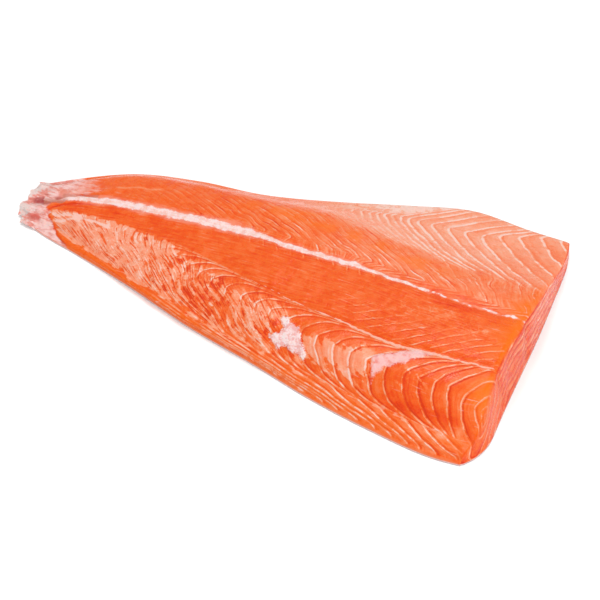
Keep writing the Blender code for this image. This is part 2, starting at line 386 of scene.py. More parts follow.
class Sheet:
    """The flesh's upper face and cut end as one grid, with all that its colours and relief need."""

    def __init__(self):
        columns = TOP_COLUMNS + CUT_COLUMNS
        v = np.linspace(0, LINES, ROWS + 1)
        u = np.linspace(0, 1, TOP_COLUMNS + 1)
        start = tail_x(v) + EDGE_INSET + TAIL_SHORT * smooth(v, 0.2, 1.2) * smooth(v, 4.8, 3.8)
        end = cut_ends(v)
        top_x = start + u[:, None] * (end - start)
        top_y, top_z = form(top_x, np.broadcast_to(v, top_x.shape))
        down = np.linspace(0, 1, CUT_COLUMNS + 1)[1:, None]
        low_z = top_z[-1] * (1 - down) + CUT_FOOT * down
        low_y = np.broadcast_to(top_y[-1], low_z.shape)
        low_x = cut_x(low_y, low_z)
        upper = np.stack((top_x, top_y, top_z), -1)
        lower = np.stack((low_x, low_y, low_z), -1)
        self.place = np.vstack((upper, lower))
        self.v = np.broadcast_to(v, (columns + 1, ROWS + 1))
        self.place[..., 1] += EDGE_INSET * (smooth(self.v, 0.4, 0.0) - smooth(self.v, LINES - 0.4, LINES))
        self.down = np.vstack((np.zeros((TOP_COLUMNS + 1, 1)), down)) * np.ones(ROWS + 1)
        self.round_fold()
        steps = np.linalg.norm(np.diff(self.place[TOP_COLUMNS:], axis=0), axis=-1) / MM
        self.depth = np.zeros(self.v.shape)
        self.depth[TOP_COLUMNS + 1:] = np.cumsum(steps, axis=0)
        self.x, self.y, self.z = np.moveaxis(self.place, -1, 0) / MM
        lines = along(LINE_Y, np.clip(self.x, -172, 168).ravel() * MM)[1:5] / MM
        self.flank, self.loin, self.spine, self.belly = lines.reshape(4, *self.x.shape)
        self.cut = smooth(self.down, 0.0, 0.06)
        self.top = 1 - self.cut
        self.count_lines()
        self.mark_seams()
        self.mark_film()
        self.set_tone()
        self.raise_relief()

    def round_fold(self):
        """Rounds the edge between the upper face and the cut, widest where the loin ends."""
        column = np.arange(len(self.place))[1:-1, None]
        reach = FOLD_COLUMNS + LOIN_FOLD_COLUMNS * smooth(self.v[1:-1], 1.9, 1.2)
        share = smooth(np.abs(column - TOP_COLUMNS), reach, reach * 0.4)[..., None] / 2
        for _ in range(FOLD_PASSES):
            between = (self.place[:-2] + self.place[2:]) / 2
            self.place[1:-1] += (between - self.place[1:-1]) * share

    def count_lines(self):
        """Each family's running number at every point, and how strongly the family shows there."""
        x, y, v, top = self.x, self.y, self.v, self.top
        wander = 1.5 * noise(x, y, 22, 1) + 0.7 * noise(x, y, 7, 2)
        xw = x + wander
        below = self.spine - y
        fold_x = np.broadcast_to(x[TOP_COLUMNS], x[TOP_COLUMNS:].shape)
        flat = self.depth + np.vstack((x[:TOP_COLUMNS], fold_x))
        rings = ring_count(flat + 0.8 * noise(flat, y, 9, 17), y + 0.8 * noise(flat, y, 8, 18))
        self.loin_end = smooth(y, -40, -47)
        ringed = smooth(flat, 134, 152) * self.loin_end
        flakes = loin_count(xw, v)
        self.count = {
            "loin_lines": flakes + (rings - flakes) * ringed,
            "belly_lines": belly_count(xw, y + 0.7 * wander, self.belly),
            "back_lines": back_count(xw + 1.5 * noise(x, y, 12, 15), v),
            "middle_lines": middle_count(xw + 2.2 * noise(x, y, 8, 16), v),
            "band_lines": (xw - np.where(v < 2.5, (v - 2) * 80, 40 - (v - 2.5) * 80)) / BAND_PITCH,
            "wisp_lines": (xw - 6 * np.sqrt(np.clip(below, 0, 9) / 7)) / WISP_PITCH,
            "film_strokes": (xw + 4.0 * noise(x, y, 15, 30) - 51 * (v - 2) ** 2) / FILM_PITCH,
            "cut_lines": (self.depth + 1.2 * noise(y, self.z, 12, 31)) / CUT_PITCH + y / 70,
        }
        broken = 0.5 + 0.5 * smooth(noise(x, y, 6, 19), -0.6, 0.3)
        patchy = 0.45 + 0.55 * smooth(noise(x, y, 9, 35), -0.5, 0.4)
        faint = smooth(self.count["belly_lines"], 10, 6) * smooth(y, 69, 58)
        corner = smooth(flat, 150, 158)
        loin_part = smooth(v, 1.0, 1.04) + (1 - smooth(v, 1.0, 1.04)) * corner * smooth(v, 0.0, 0.15)
        self.mask = {
            "loin_lines": top * loin_part * smooth(v, 2.0, 1.985) * smooth(x, -74, -45)
            * (1 - smooth(x, 40, 10) * smooth(v, 1.66, 1.46)) + self.cut * self.loin_end,
            "belly_lines": top * smooth(v, 3.96, 4.12) * smooth(x, -20, 50) * (1 - 0.65 * faint),
            "back_lines": top * smooth(v, 1.10, 0.94) * smooth(v, 0.0, 0.12) * smooth(x, -150, 30)
            * (1 - corner),
            "middle_lines": top * smooth(v, 3.03, 3.1) * smooth(v, 4.25, 3.9) * smooth(x, -140, 20) * patchy,
            "band_lines": top * smooth(v, 2.02, 2.06) * smooth(v, 2.55, 2.3) * smooth(x, 45, 85) * broken,
            "wisp_lines": top * smooth(below, 8, 4) * smooth(below, 0.4, 1.5) * smooth(x, -40, 0)
            * smooth(x, 80, 60),
            "cut_lines": self.cut * (1 - self.loin_end),
            "film_strokes": top * smooth(v, 1.02, 1.10) * smooth(v, 2.08, 1.9) * smooth(x, -151, -145)
            * smooth(x, 60, 10),
        }

    def mark_seams(self):
        """How far inside the white spine line and the two seams each point lies, at most 1."""
        x, y = self.x, self.y
        fine = noise(x, y, 2.4, 3)
        width = np.interp(x, CHORD_X, CHORD_HALF)
        shift = np.interp(x, CHORD_SHIFT_X, CHORD_SHIFT)
        away = np.abs(y - self.spine - shift + 0.5 * fine + 0.9 * noise(x, y, 6, 5))
        gaps = 0.8 * noise(x, y, 5, 20) + 0.8 * noise(x, y, 1.9, 33)
        self.chord = 1 - away / width - smooth(x, 85, 115) * (0.45 + gaps)
        width = np.interp(x, LOIN_SEAM_X, LOIN_SEAM_HALF)
        away = np.abs(y - self.loin + 0.4 * fine + 0.8 * noise(x, y, 9, 6))
        self.loin_seam = 1 - away / width
        width = np.interp(x, FLANK_SEAM_X, FLANK_SEAM_HALF)
        away = np.abs(y - self.flank + 0.5 * fine + 1.2 * noise(x, y, 9, 7))
        self.flank_seam = 1 - away / width - smooth(noise(x, y, 6, 32), -0.2, 0.6)

    def mark_film(self):
        """Where the pale film, the web beside the spine line, the torn places and the membrane lie."""
        x, y, v, top = self.x, self.y, self.v, self.top
        fine = noise(x, y, 3.2, 3)
        ragged = 0.13 * noise(x * 0.6, y, 5, 37) + 0.05 * fine
        inside = smooth(v + ragged, 0.90, 1.08) * smooth(v + 0.06 * fine, 2.0, 1.86)
        film = inside * smooth(x, -154, -149) * smooth(x - 34 * (1.75 - v), 26, -6)
        film = film * (1 - 0.75 * smooth(x, -115, 0))
        film = film * (1 - 0.9 * smooth(x, -75, -35) * smooth(v, 1.72, 1.84))
        film = film * smooth(stroke_distance(x, y, TAIL_MUSCLE_RIM) + 0.8 * fine, 1.5, 4.5)
        frost = spot(x, y, (62, -60), (18, 6)) + 0.6 * spot(x, y, (17, -46), (14, 9))
        frost = frost + 0.8 * spot(x, y, (80, -62), (9, 8)) + 0.35 * spot(x, y, (115, -64), (9, 6))
        web = spot(x, y, (108, -18), (26, 9)) + 0.8 * spot(x, y, (140, -24), (14, 7))
        self.film = np.clip((film + 0.8 * frost * inside + 0.1 * web) * top, 0, 1)
        self.web = np.clip(web, 0, 1) * top
        self.white_tear = outline_distance(x + 0.9 * fine, y + 0.9 * noise(x, y, 2.6, 8), WHITE_TEAR)
        self.pink_tear = outline_distance(x + 0.7 * fine, y + 0.7 * noise(x, y, 2.6, 9), PINK_TEAR)
        front = np.interp(v, MEMBRANE_END_V, MEMBRANE_END_X)
        soft = 2 + 12 * smooth(v, 3.1, 3.5)
        self.membrane = smooth(x + 2.5 * noise(x, y, 5, 10) + fine, front + soft, front - soft) * top

    def set_tone(self):
        """How pale and pink the flesh is, and where amber glow is painted, before its finer marks."""
        x, y, v = self.x, self.y, self.v
        tone = np.full(x.shape, BASE_TONE)
        tone += 0.045 * smooth(v, 2.02, 1.9)
        tone += (0.03 + 0.07 * smooth(x, 0, 60)) * smooth(v, 1.1, 0.9)
        tone += 0.13 * smooth(v, 2.97, 3.1) * smooth(x, -60, 80) + 0.05 * smooth(v, 2.97, 3.1)
        pale = smooth(v + 0.10 * noise(x, y, 8, 11), 3.94, 4.2) * smooth(x, -30, 80)
        flesh = smooth(x - 0.35 * (y - 60), 112, 165)
        tone = tone + (BELLY_TONE - 0.13 * flesh - tone) * pale
        tone += 0.35 * spot(x, y, (141, -83), (3.5, 2)) + 0.25 * spot(x, y, (150, -80), (2.5, 3))
        plain_cut = self.cut * (1 - self.loin_end)
        tone = tone + (CUT_TONE - 0.06 * smooth(y, 10, 60) - tone) * plain_cut
        tone += (0.12 * smooth(self.depth, 8, 18) - 0.14) * self.cut * self.loin_end
        tone += 0.04 * spot(x, y, (15, -12), (50, 16)) * smooth(v, 2.0, 2.1)
        tone -= 0.035 * smooth(x, 70, 110) * smooth(v, 2.0, 1.9) * smooth(v, 1.0, 1.1) * self.top
        tone -= 0.04 * spot(x, y, (0, -42), (28, 18))
        tone -= 0.12 * smooth(v, 0.95, 0.7) * smooth(v, 0.1, 0.3) * smooth(x, -20, -80)
        tone -= 0.16 * spot(x, y, (122, -9), (18, 2.4)) + 0.18 * spot(x, y, (128, -76), (24, 2.2))
        tone -= 0.25 * spot(x, y, (-22, -42), (5, 3)) + 0.2 * spot(x, y, (-36, -42), (4, 2.5))
        tone += 0.06 * self.web
        beside = smooth(v, 3.02, 3.05) * smooth(v, 3.26, 3.08) * smooth(x, 20, 60) * self.top
        tone -= 0.16 * beside * smooth(noise(x * 0.3, y, 3, 34), -0.4, 0.5)
        border = smooth(v, 3.45, 3.7) * smooth(v, 4.02, 3.9) * smooth(x, -60, 0) * smooth(x, 135, 90)
        middle = smooth(v, 3.1, 3.25) * smooth(v, 3.85, 3.6) * smooth(x, 0, 60) * self.top
        tone += 0.05 * middle
        pink = 0.25 * smooth(v, 2.97, 3.1) * smooth(x, -20, 60) + 0.25 * pale
        pink = pink + 0.10 * plain_cut + 0.25 * middle
        pink = pink + 0.35 * self.film + 0.25 * self.cut * self.loin_end * smooth(self.depth, 8, 18)
        # Painted amber glow, as of light shining through the flesh: at the loin's fold and corner, along the
        # thin edges, and in patches toward the belly line.
        painted_glow = 0.75 * smooth(x, 142, 160) * smooth(y, -74, -60) * smooth(y, 24, 4)
        painted_glow = painted_glow * smooth(np.abs(v - 2), 0.0, 0.25)
        painted_glow = painted_glow + 0.5 * spot(x, y, (146, -84), (9, 3))
        painted_glow = (painted_glow + 0.5 * smooth(x, 155, 163) * smooth(y, 60, 20)) * self.top
        painted_glow = painted_glow + 0.8 * spot(x, y, (160, -62), (9, 11)) * smooth(self.depth, 14, 4)
        painted_glow = painted_glow + 0.7 * border * self.top * smooth(noise(x, y, 9, 36), -0.5, 0.5)
        near_edge = smooth(v, 1.0, 0.8) * (1 - 0.4 * smooth(x, -60, 0)) * smooth(x, 135, 100)
        painted_glow = painted_glow + 0.4 * near_edge + 0.3 * smooth(v, 4.3, 4.8) * smooth(x, 0, -60)
        back_corner = self.cut * smooth(y, -62, -74) * smooth(self.down, 0.7, 0.2)
        pink = pink + 0.4 * spot(x, y, (143, -83), (6, 2.5)) - 0.3 * back_corner
        painted_glow = painted_glow + 0.4 * back_corner
        # The rim stroke is painted shade along the groove at the tail muscle's rim.
        rim = stroke(x + 0.5 * noise(x, y, 3, 21), y, TAIL_MUSCLE_RIM, 1.3)
        scar = stroke(x, y + 0.8 * noise(x, y, 4, 22), BELLY_SCAR, 2.4)
        hollow = stroke(x, y + 0.8 * noise(x, y, 4, 23), TAIL_HOLLOW, 4.2)
        tongue = stroke(x, y, TAIL_TONGUE, 2.6) + stroke(x, y + 0.6 * noise(x, y, 5, 24), FILM_RIM, 1.6)
        seam = stroke(x, y + 1.2 * noise(x, y, 6, 25), BELLY_SEAM, 1.3)
        self.hollow = hollow
        # The scar's own pinkish brown, and painted shade in the tail hollow.
        self.scar_and_hollow_shade = np.clip(0.9 * hollow + 0.75 * scar, 0, 1)
        self.tone = tone - 0.22 * rim + 0.35 * tongue + 0.26 * seam
        self.pink = np.clip(pink + 0.3 * tongue + 0.1 * seam, 0, 1)
        self.painted_glow = np.clip(painted_glow, 0, 1)

    def raise_relief(self):
        """Grooves, flakes that overlap like tiles, film and tears, as height along the face's own normal."""
        x, y = self.x, self.y
        height = -np.exp(-((y - self.spine) / 3.0) ** 2)
        height -= 0.8 * smooth(x, -30, 10) * np.exp(-((y - self.loin) / 2.6) ** 2)
        for name, rise in FLAKE_RISE.items():
            height += rise * self.flake(name)
        height += 0.4 * smooth(self.chord, 0.0, 0.5)
        height += 0.35 * smooth(self.loin_seam, 0.0, 0.6) * smooth(x, 0, 60)
        height += 0.5 * smooth(self.white_tear, -0.6, 0.8) - 0.9 * smooth(self.white_tear, -6, 0)
        height += 0.4 * smooth(self.pink_tear, -0.6, 0.8) - 0.6 * smooth(self.pink_tear, -6, 0)
        stroke_side = np.sin(2 * math.pi * 3.1 * self.count["film_strokes"] + 2.5 * noise(x, y, 6, 26))
        height += self.film * (0.22 * stroke_side * noise(x, y, 5, 27) + 0.35 * noise(x, y, 4, 28))
        height -= 0.9 * self.membrane * smooth(x, -174, -160) + 1.6 * self.hollow
        for fold in TAIL_FOLDS:
            height += 1.1 * stroke(x, y + noise(x, y, 6, 29), fold, 3.0)
        height -= 0.5 * stroke(x, y, TAIL_MUSCLE_RIM, 1.6) + 0.8 * stroke(x, y, BELLY_SCAR, 2.6)
        height += 0.5 * noise(x, y, 30, 12) + 0.32 * noise(x, y, 11, 13) + 0.14 * noise(x, y, 4, 14)
        edge = smooth(self.v, 0, 0.25) * smooth(self.v, LINES, LINES - 0.25) * smooth(self.down, 1.0, 0.85)
        normal = np.cross(np.gradient(self.place, axis=0), np.gradient(self.place, axis=1))
        normal /= np.maximum(np.linalg.norm(normal, axis=-1, keepdims=True), 1e-12)
        self.place = self.place + normal * ((height - 0.25) * edge * MM)[..., None]

    def flake(self, name):
        """A tile's height over its width: steep up at the line, then falling off slowly."""
        reach = surface_reach(self.count[name], self.place)
        share = self.count[name] - np.floor(self.count[name])
        rise = smooth(share * reach, 0.0, 1.6) * (1 - share) ** 0.8
        return (rise - 0.35) * self.mask[name] * smooth(reach, 1.2, 4.0)


def flesh_mesh(sheet):
    """A grid laid on the sheet, closed by walls and a floor."""
    columns, rows = sheet.v.shape
    bm = bmesh.new()
    bmesh.ops.create_grid(bm, x_segments=columns - 1, y_segments=rows - 1, size=0.5)
    column = bm.verts.layers.int.new("column")
    row = bm.verts.layers.int.new("row")
    wall = bm.verts.layers.float.new("wall")
    for vert in bm.verts:
        vert[column] = round((vert.co.x + 0.5) * (columns - 1))
        vert[row] = round((vert.co.y + 0.5) * (rows - 1))
        vert.co = sheet.place[vert[column], vert[row]]
        vert.co.z = max(vert.co.z, FLESH_FLOOR)
    rims = {(vert[column], vert[row]): vert.co.copy() for vert in bm.verts if vert.is_boundary}
    edges = [edge for edge in bm.edges if edge.is_boundary]
    for ring in range(1, WALL_RINGS + 1):
        share = ring / WALL_RINGS
        made = bmesh.ops.extrude_edge_only(bm, edges=edges)["geom"]
        for vert in (item for item in made if isinstance(item, bmesh.types.BMVert)):
            i, j = vert[column], vert[row]
            rim = rims[i, j]
            outward = Vector((0, (j == rows - 1) - (j == 0), 0))
            vert.co = rim + outward * WALL_BULGE * math.sin(share * math.pi / 2) * (i > 0)
            vert.co.z = FLESH_FLOOR + (rim.z - FLESH_FLOOR) * (1 - share)
            vert[wall] = share
        edges = [item for item in made if isinstance(item, bmesh.types.BMEdge)]
    bmesh.ops.contextual_create(bm, geom=edges)
    bmesh.ops.recalc_face_normals(bm, faces=bm.faces)
    return bm


def skin_mesh(sheet):
    """A thin scaly sheet between the flesh's four lower edges, with a rim that shows round them."""
    rim = sheet.place[..., :2]
    u = np.linspace(0, 1, SKIN_COLUMNS + 1)
    v = np.linspace(0, 1, SKIN_ROWS + 1)
    column = u * (len(rim) - 1)
    row = v * (rim.shape[1] - 1)

    def edge(line, at):
        return np.stack([np.interp(at, np.arange(len(line)), line[:, k]) for k in (0, 1)], -1)
    back, belly = edge(rim[:, 0], column)[:, None], edge(rim[:, -1], column)[:, None]
    tail, cut = edge(rim[0], row)[None], edge(rim[-1], row)[None]
    a, b = u[:, None, None], v[None, :, None]
    place = (1 - b) * back + b * belly + (1 - a) * tail + a * cut
    tail_corners = (1 - b) * tail[:, :1] + b * tail[:, -1:]
    cut_corners = (1 - b) * cut[:, :1] + b * cut[:, -1:]
    place -= (1 - a) * tail_corners + a * cut_corners
    x, y = place[..., 0] / MM, place[..., 1] / MM
    scale_row = np.floor(y / SCALE_PITCH)
    along_scale = (x / SCALE_PITCH + scale_row * 0.5) % 1.0
    across_scale = np.abs((y / SCALE_PITCH) % 1.0 - 0.5)
    scale = smooth(along_scale, 0.0, 0.8) * smooth(across_scale, 0.5, 0.2)
    bm = bmesh.new()
    bmesh.ops.create_grid(bm, x_segments=SKIN_COLUMNS, y_segments=SKIN_ROWS, size=0.5)
    for vert in bm.verts:
        i = round((vert.co.x + 0.5) * SKIN_COLUMNS)
        j = round((vert.co.y + 0.5) * SKIN_ROWS)
        outward = Vector(((i == SKIN_COLUMNS) * 0.2 - (i == 0), (j == SKIN_ROWS) - (j == 0), 0)) * SKIN_OUT
        vert.co = Vector((*place[i, j], SCALE_HEIGHT * (1 - scale[i, j]))) + outward
        if vert.is_boundary:
            vert.co.z = 0.0
    edges = [item for item in bm.edges if item.is_boundary]
    made = bmesh.ops.extrude_edge_only(bm, edges=edges)["geom"]
    for vert in (item for item in made if isinstance(item, bmesh.types.BMVert)):
        vert.co.z = SKIN_TOP
    bmesh.ops.contextual_create(bm, geom=[item for item in made if isinstance(item, bmesh.types.BMEdge)])
    bmesh.ops.recalc_face_normals(bm, faces=bm.faces)
    return bm


def flap_mesh(sheet, root, tip, width, rise, seed):
    """A thin flap of tail membrane laid on the sheet from its root to its torn end, all in millimetres."""
    bm = bmesh.new()
    bmesh.ops.create_grid(bm, x_segments=FLAP_COLUMNS, y_segments=FLAP_ROWS, size=0.5)
    root, tip = np.array(root), np.array(tip)
    side = np.array((root[1] - tip[1], tip[0] - root[0])) / np.hypot(*(tip - root))
    s = np.array([vert.co.x + 0.5 for vert in bm.verts])
    t = np.array([vert.co.y * 2 for vert in bm.verts])
    torn = noise(t * 7, t * 0, 3.2, seed) * 1.2 + noise(t * 7, t * 0, 1.1, seed + 1) * 0.4 - 0.7 * t * t
    reach = s * (1 + smooth(s, 0.35, 1.0) * torn / 18)
    half = width / 2 * (0.75 + 0.25 * np.sin(math.pi * (0.2 + 0.6 * s))) + 0.5 * noise(s * 20, t, 4, seed + 2)
    place = root + reach[:, None] * (tip - root) + (half * t)[:, None] * side
    free = smooth(s, 0.05, 0.45)
    fold = 0.8 * noise(place[:, 0] * 0.4, place[:, 1], 3.2, seed + 3)
    lift = (FLAP_LIFT + rise * s * s + fold) * free * (1 - 0.75 * t ** 4) - FLAP_LIFT * (1 - free)
    height = ground_height(sheet, place) + lift
    for vert, (x, y), z in zip(bm.verts, place, height):
        vert.co = Vector((x, y, max(z, FLAP_LOWEST))) * MM
    bmesh.ops.solidify(bm, geom=bm.faces[:], thickness=FLAP_THICKNESS)
    bmesh.ops.recalc_face_normals(bm, faces=bm.faces)
    return bm


def ground_height(sheet, place):
    """The sheet's height in millimetres at its point nearest to each place in the tail."""
    points = sheet.place[:TAIL_COLUMNS].reshape(-1, 3) / MM
    nearest = [int(np.argmin(np.hypot(points[:, 0] - x, points[:, 1] - y))) for x, y in place]
    return points[nearest, 2]


def store(mesh, name, *values):
    layer = mesh.attributes.new(name, "FLOAT_VECTOR", "POINT")
    layer.data.foreach_set("vector", np.stack(values, -1).astype(np.float32).ravel())


def take(mesh, name, kind):
    values = np.empty(len(mesh.vertices), kind)
    mesh.attributes[name].data.foreach_get("value", values)
    return values


def add_piece(name, bm, material):
    mesh = bpy.data.meshes.new(name)
    bm.to_mesh(mesh)
    bm.free()
    mesh.materials.append(material)
    for polygon in mesh.polygons:
        polygon.use_smooth = True
    piece = bpy.data.objects.new(name, mesh)
    bpy.context.scene.collection.objects.link(piece)
    return piece


def add_flesh(sheet):
    flesh = add_piece("flesh", flesh_mesh(sheet), flesh_material())
    mesh = flesh.data
    wall = take(mesh, "wall", np.float32)
    at = (take(mesh, "column", np.int32), take(mesh, "row", np.int32))
    for name, values in sheet.count.items():
        reach = surface_reach(values, sheet.place)
        store(mesh, name, values[at], reach[at], sheet.mask[name][at] * (1 - wall))
    store(mesh, "seams", sheet.chord[at], sheet.loin_seam[at], sheet.flank_seam[at])
    store(mesh, "tears", sheet.white_tear[at], sheet.pink_tear[at], sheet.film[at])
    store(mesh, "ends", sheet.membrane[at], sheet.cut[at], wall)
    store(mesh, "hue", sheet.tone[at], sheet.pink[at], sheet.painted_glow[at])
    store(mesh, "run", sheet.x[at], (sheet.y - sheet.spine)[at], sheet.down[at])
    store(mesh, "marks", sheet.web[at], sheet.scar_and_hollow_shade[at], sheet.v[at])
    for name in ("column", "row", "wall"):
        mesh.attributes.remove(mesh.attributes[name])
    return flesh


def colour(red, green, blue):
    """A colour seen as these screen values in this studio, as linear values less its light and gloss."""
    out = []
    for value in (red, green, blue):
        c = value / 255
        linear = c / 12.92 if c <= 0.04045 else ((c + 0.055) / 1.055) ** 2.4
        out.append(max(STUDIO_LIGHT * linear - STUDIO_GLOSS, 0.001))
    return out


class Value:
    """A number, vector or colour on its way through one material's nodes."""

    def __init__(self, paint, socket):
        self.paint = paint
        self.socket = socket

    def __add__(self, other):
        return self.paint.maths("ADD", self, other)

    def __radd__(self, other):
        return self.paint.maths("ADD", other, self)

    def __sub__(self, other):
        return self.paint.maths("SUBTRACT", self, other)

    def __rsub__(self, other):
        return self.paint.maths("SUBTRACT", other, self)

    def __mul__(self, other):
        return self.paint.maths("MULTIPLY", self, other)

    def __rmul__(self, other):
        return self.paint.maths("MULTIPLY", other, self)


class Paint:
    """One material's nodes, made by expressions."""

    def __init__(self, name):
        self.material = bpy.data.materials.new(name)
        self.material.use_nodes = True
        self.tree = self.material.node_tree
        self.shader = self.tree.nodes["Principled BSDF"]
        self.place = self.node("ShaderNodeTexCoord", {}, {}, "Object")

    def plug(self, socket, value):
        if isinstance(value, Value):
            self.tree.links.new(value.socket, socket)
        elif isinstance(value, (tuple, list)):
            socket.default_value = list(value) + [1.0] if socket.type == "RGBA" else list(value)
        else:
            socket.default_value = value

    def node(self, kind, settings, values, output=0):
        node = self.tree.nodes.new(kind)
        for name, setting in settings.items():
            setattr(node, name, setting)
        for key, value in values.items():
            self.plug(node.inputs[key], value)
        return Value(self, node.outputs[output])

    def maths(self, operation, *values):
        return self.node("ShaderNodeMath", {"operation": operation}, dict(enumerate(values)))

    def stored(self, name):
        """The three numbers kept at each point of the mesh under this name."""
        vector = self.node("ShaderNodeAttribute", {"attribute_name": name}, {}, "Vector")
        return self.parts(vector)

    def parts(self, vector):
        split = self.node("ShaderNodeSeparateXYZ", {}, {0: vector})
        return [Value(self, output) for output in split.socket.node.outputs]

    def joined(self, x, y, z):
        return self.node("ShaderNodeCombineXYZ", {}, {0: x, 1: y, 2: z})

    def ramp(self, value, low, high, to_low=0.0, to_high=1.0, kind="SMOOTHSTEP"):
        values = {"Value": value, "From Min": low, "From Max": high, "To Min": to_low, "To Max": to_high}
        return self.node("ShaderNodeMapRange", {"interpolation_type": kind}, values)

    def noise(self, place, scale, detail=2.0, roughness=0.5, distortion=0.0):
        """Random values from -0.5 to 0.5 about zero."""
        values = {"Vector": place, "Scale": scale, "Detail": detail, "Roughness": roughness,
                  "Distortion": distortion}
        return self.node("ShaderNodeTexNoise", {}, values, "Fac") - 0.5

    def mix(self, below, above, share):
        return self.node("ShaderNodeMix", {"data_type": "RGBA"}, {0: share, 6: below, 7: above}, 2)

    def finish(self, base, roughness, height, **constants):
        """Joins colour, roughness and a bump whose height is in millimetres to the shader."""
        self.plug(self.shader.inputs["Base Color"], base)
        self.plug(self.shader.inputs["Roughness"], roughness)
        bump = self.node("ShaderNodeBump", {}, {"Height": height, "Distance": MM, "Strength": 1.0})
        self.plug(self.shader.inputs["Normal"], bump)
        for name, value in constants.items():
            self.plug(self.shader.inputs[name.replace("_", " ")], value)
        return self.material


# What turns a seen colour into a base colour: the light's share, and the gloss that is taken off.
STUDIO_LIGHT = 0.80
STUDIO_GLOSS = 0.028
# Painted shade on the tail membrane, over the hollow and between the flaps: middle, slope, half size, colour
# and strength.
MEMBRANE_PAINTED_SHADE = (((-0.1548, -0.0001), 0.28, (0.0110, 0.0038), (180, 82, 80), 0.95),
                   ((-0.1565, -0.0160), -0.1, (0.0045, 0.0026), (222, 104, 92), 0.8),
                   ((-0.1490, 0.0100), 0.1, (0.0060, 0.0028), (236, 144, 122), 0.7))
# The flesh's colour at each tone.
FLESH_TONES = ((0.0, (206, 66, 26)), (0.2, (240, 86, 32)), (0.4, (248, 113, 60)), (0.6, (250, 140, 94)),
               (0.8, (252, 172, 138)), (1.0, (254, 214, 198)))
# Each family's name, pitch and line width in millimetres, and waver, then how much its pale lines, the
# painted shade past them, the painted shade sloping across a flake and the streaks along it change the tone.
FLAKE_FAMILIES = (("loin_lines", 10.0, 0.62, 1.3, 0.38, 0.20, 0.20, 0.45),
                  ("belly_lines", 9.0, 0.85, 1.0, 0.40, 0.12, 0.12, 0.30),
                  ("back_lines", 10.0, 0.60, 1.4, 0.40, 0.22, 0.24, 0.50),
                  ("middle_lines", MIDDLE_PITCH, 0.45, 1.8, 0.28, 0.26, 0.08, 1.25),
                  ("band_lines", 10.0, 0.45, 2.4, 0.42, 0.14, 0.02, 0.10),
                  ("wisp_lines", WISP_PITCH, 0.55, 2.4, 0.34, 0.18, 0.00, 0.10),
                  ("cut_lines", CUT_PITCH, 0.90, 2.4, 0.38, 0.44, 0.06, 1.30))


def flesh_colour(p, tone, pink, painted_glow):
    """The flesh's colour: deep orange at tone 0 to near white at 1, turned to pink, and to amber where glow
    is painted.
    """
    base = colour(*FLESH_TONES[0][1])
    for (low, _), (high, shade) in zip(FLESH_TONES, FLESH_TONES[1:]):
        base = p.mix(base, colour(*shade), p.ramp(tone, low, high, kind="LINEAR"))
    base = p.mix(base, colour(255, 158, 148), pink * 0.42)
    return p.mix(base, colour(255, 128, 10), painted_glow * 0.75)


def flow_noise(p, count, pitch, fine, length, seed, detail=2.0):
    """Noise drawn out along the flake lines."""
    x, y, _ = p.stored("run")
    place = p.joined(count * (pitch / fine) + seed, x * (1 / length), y * (1 / length))
    return p.noise(place, 1.0, detail, 0.55)


def flake_marks(p, name, pitch, width, wobble, seed):
    """A family's lines, the painted shade just past each, the place across a flake, and the streaks along it.
    """
    count, reach, strength = p.stored(name)
    count = count + wobble
    away = p.maths("PINGPONG", count, 0.5) * reach
    share = p.maths("FRACT", count)
    line = p.ramp(away, width * 1.4, width * 0.3) * strength
    shade = p.ramp(share * reach, width * 0.7, width * 1.3) * p.ramp(share * reach, width * 3.6, width * 1.4)
    streak = flow_noise(p, count, pitch, 1.5, 13.0, seed) * strength
    return line, shade * strength, (share - 0.5) * strength, streak


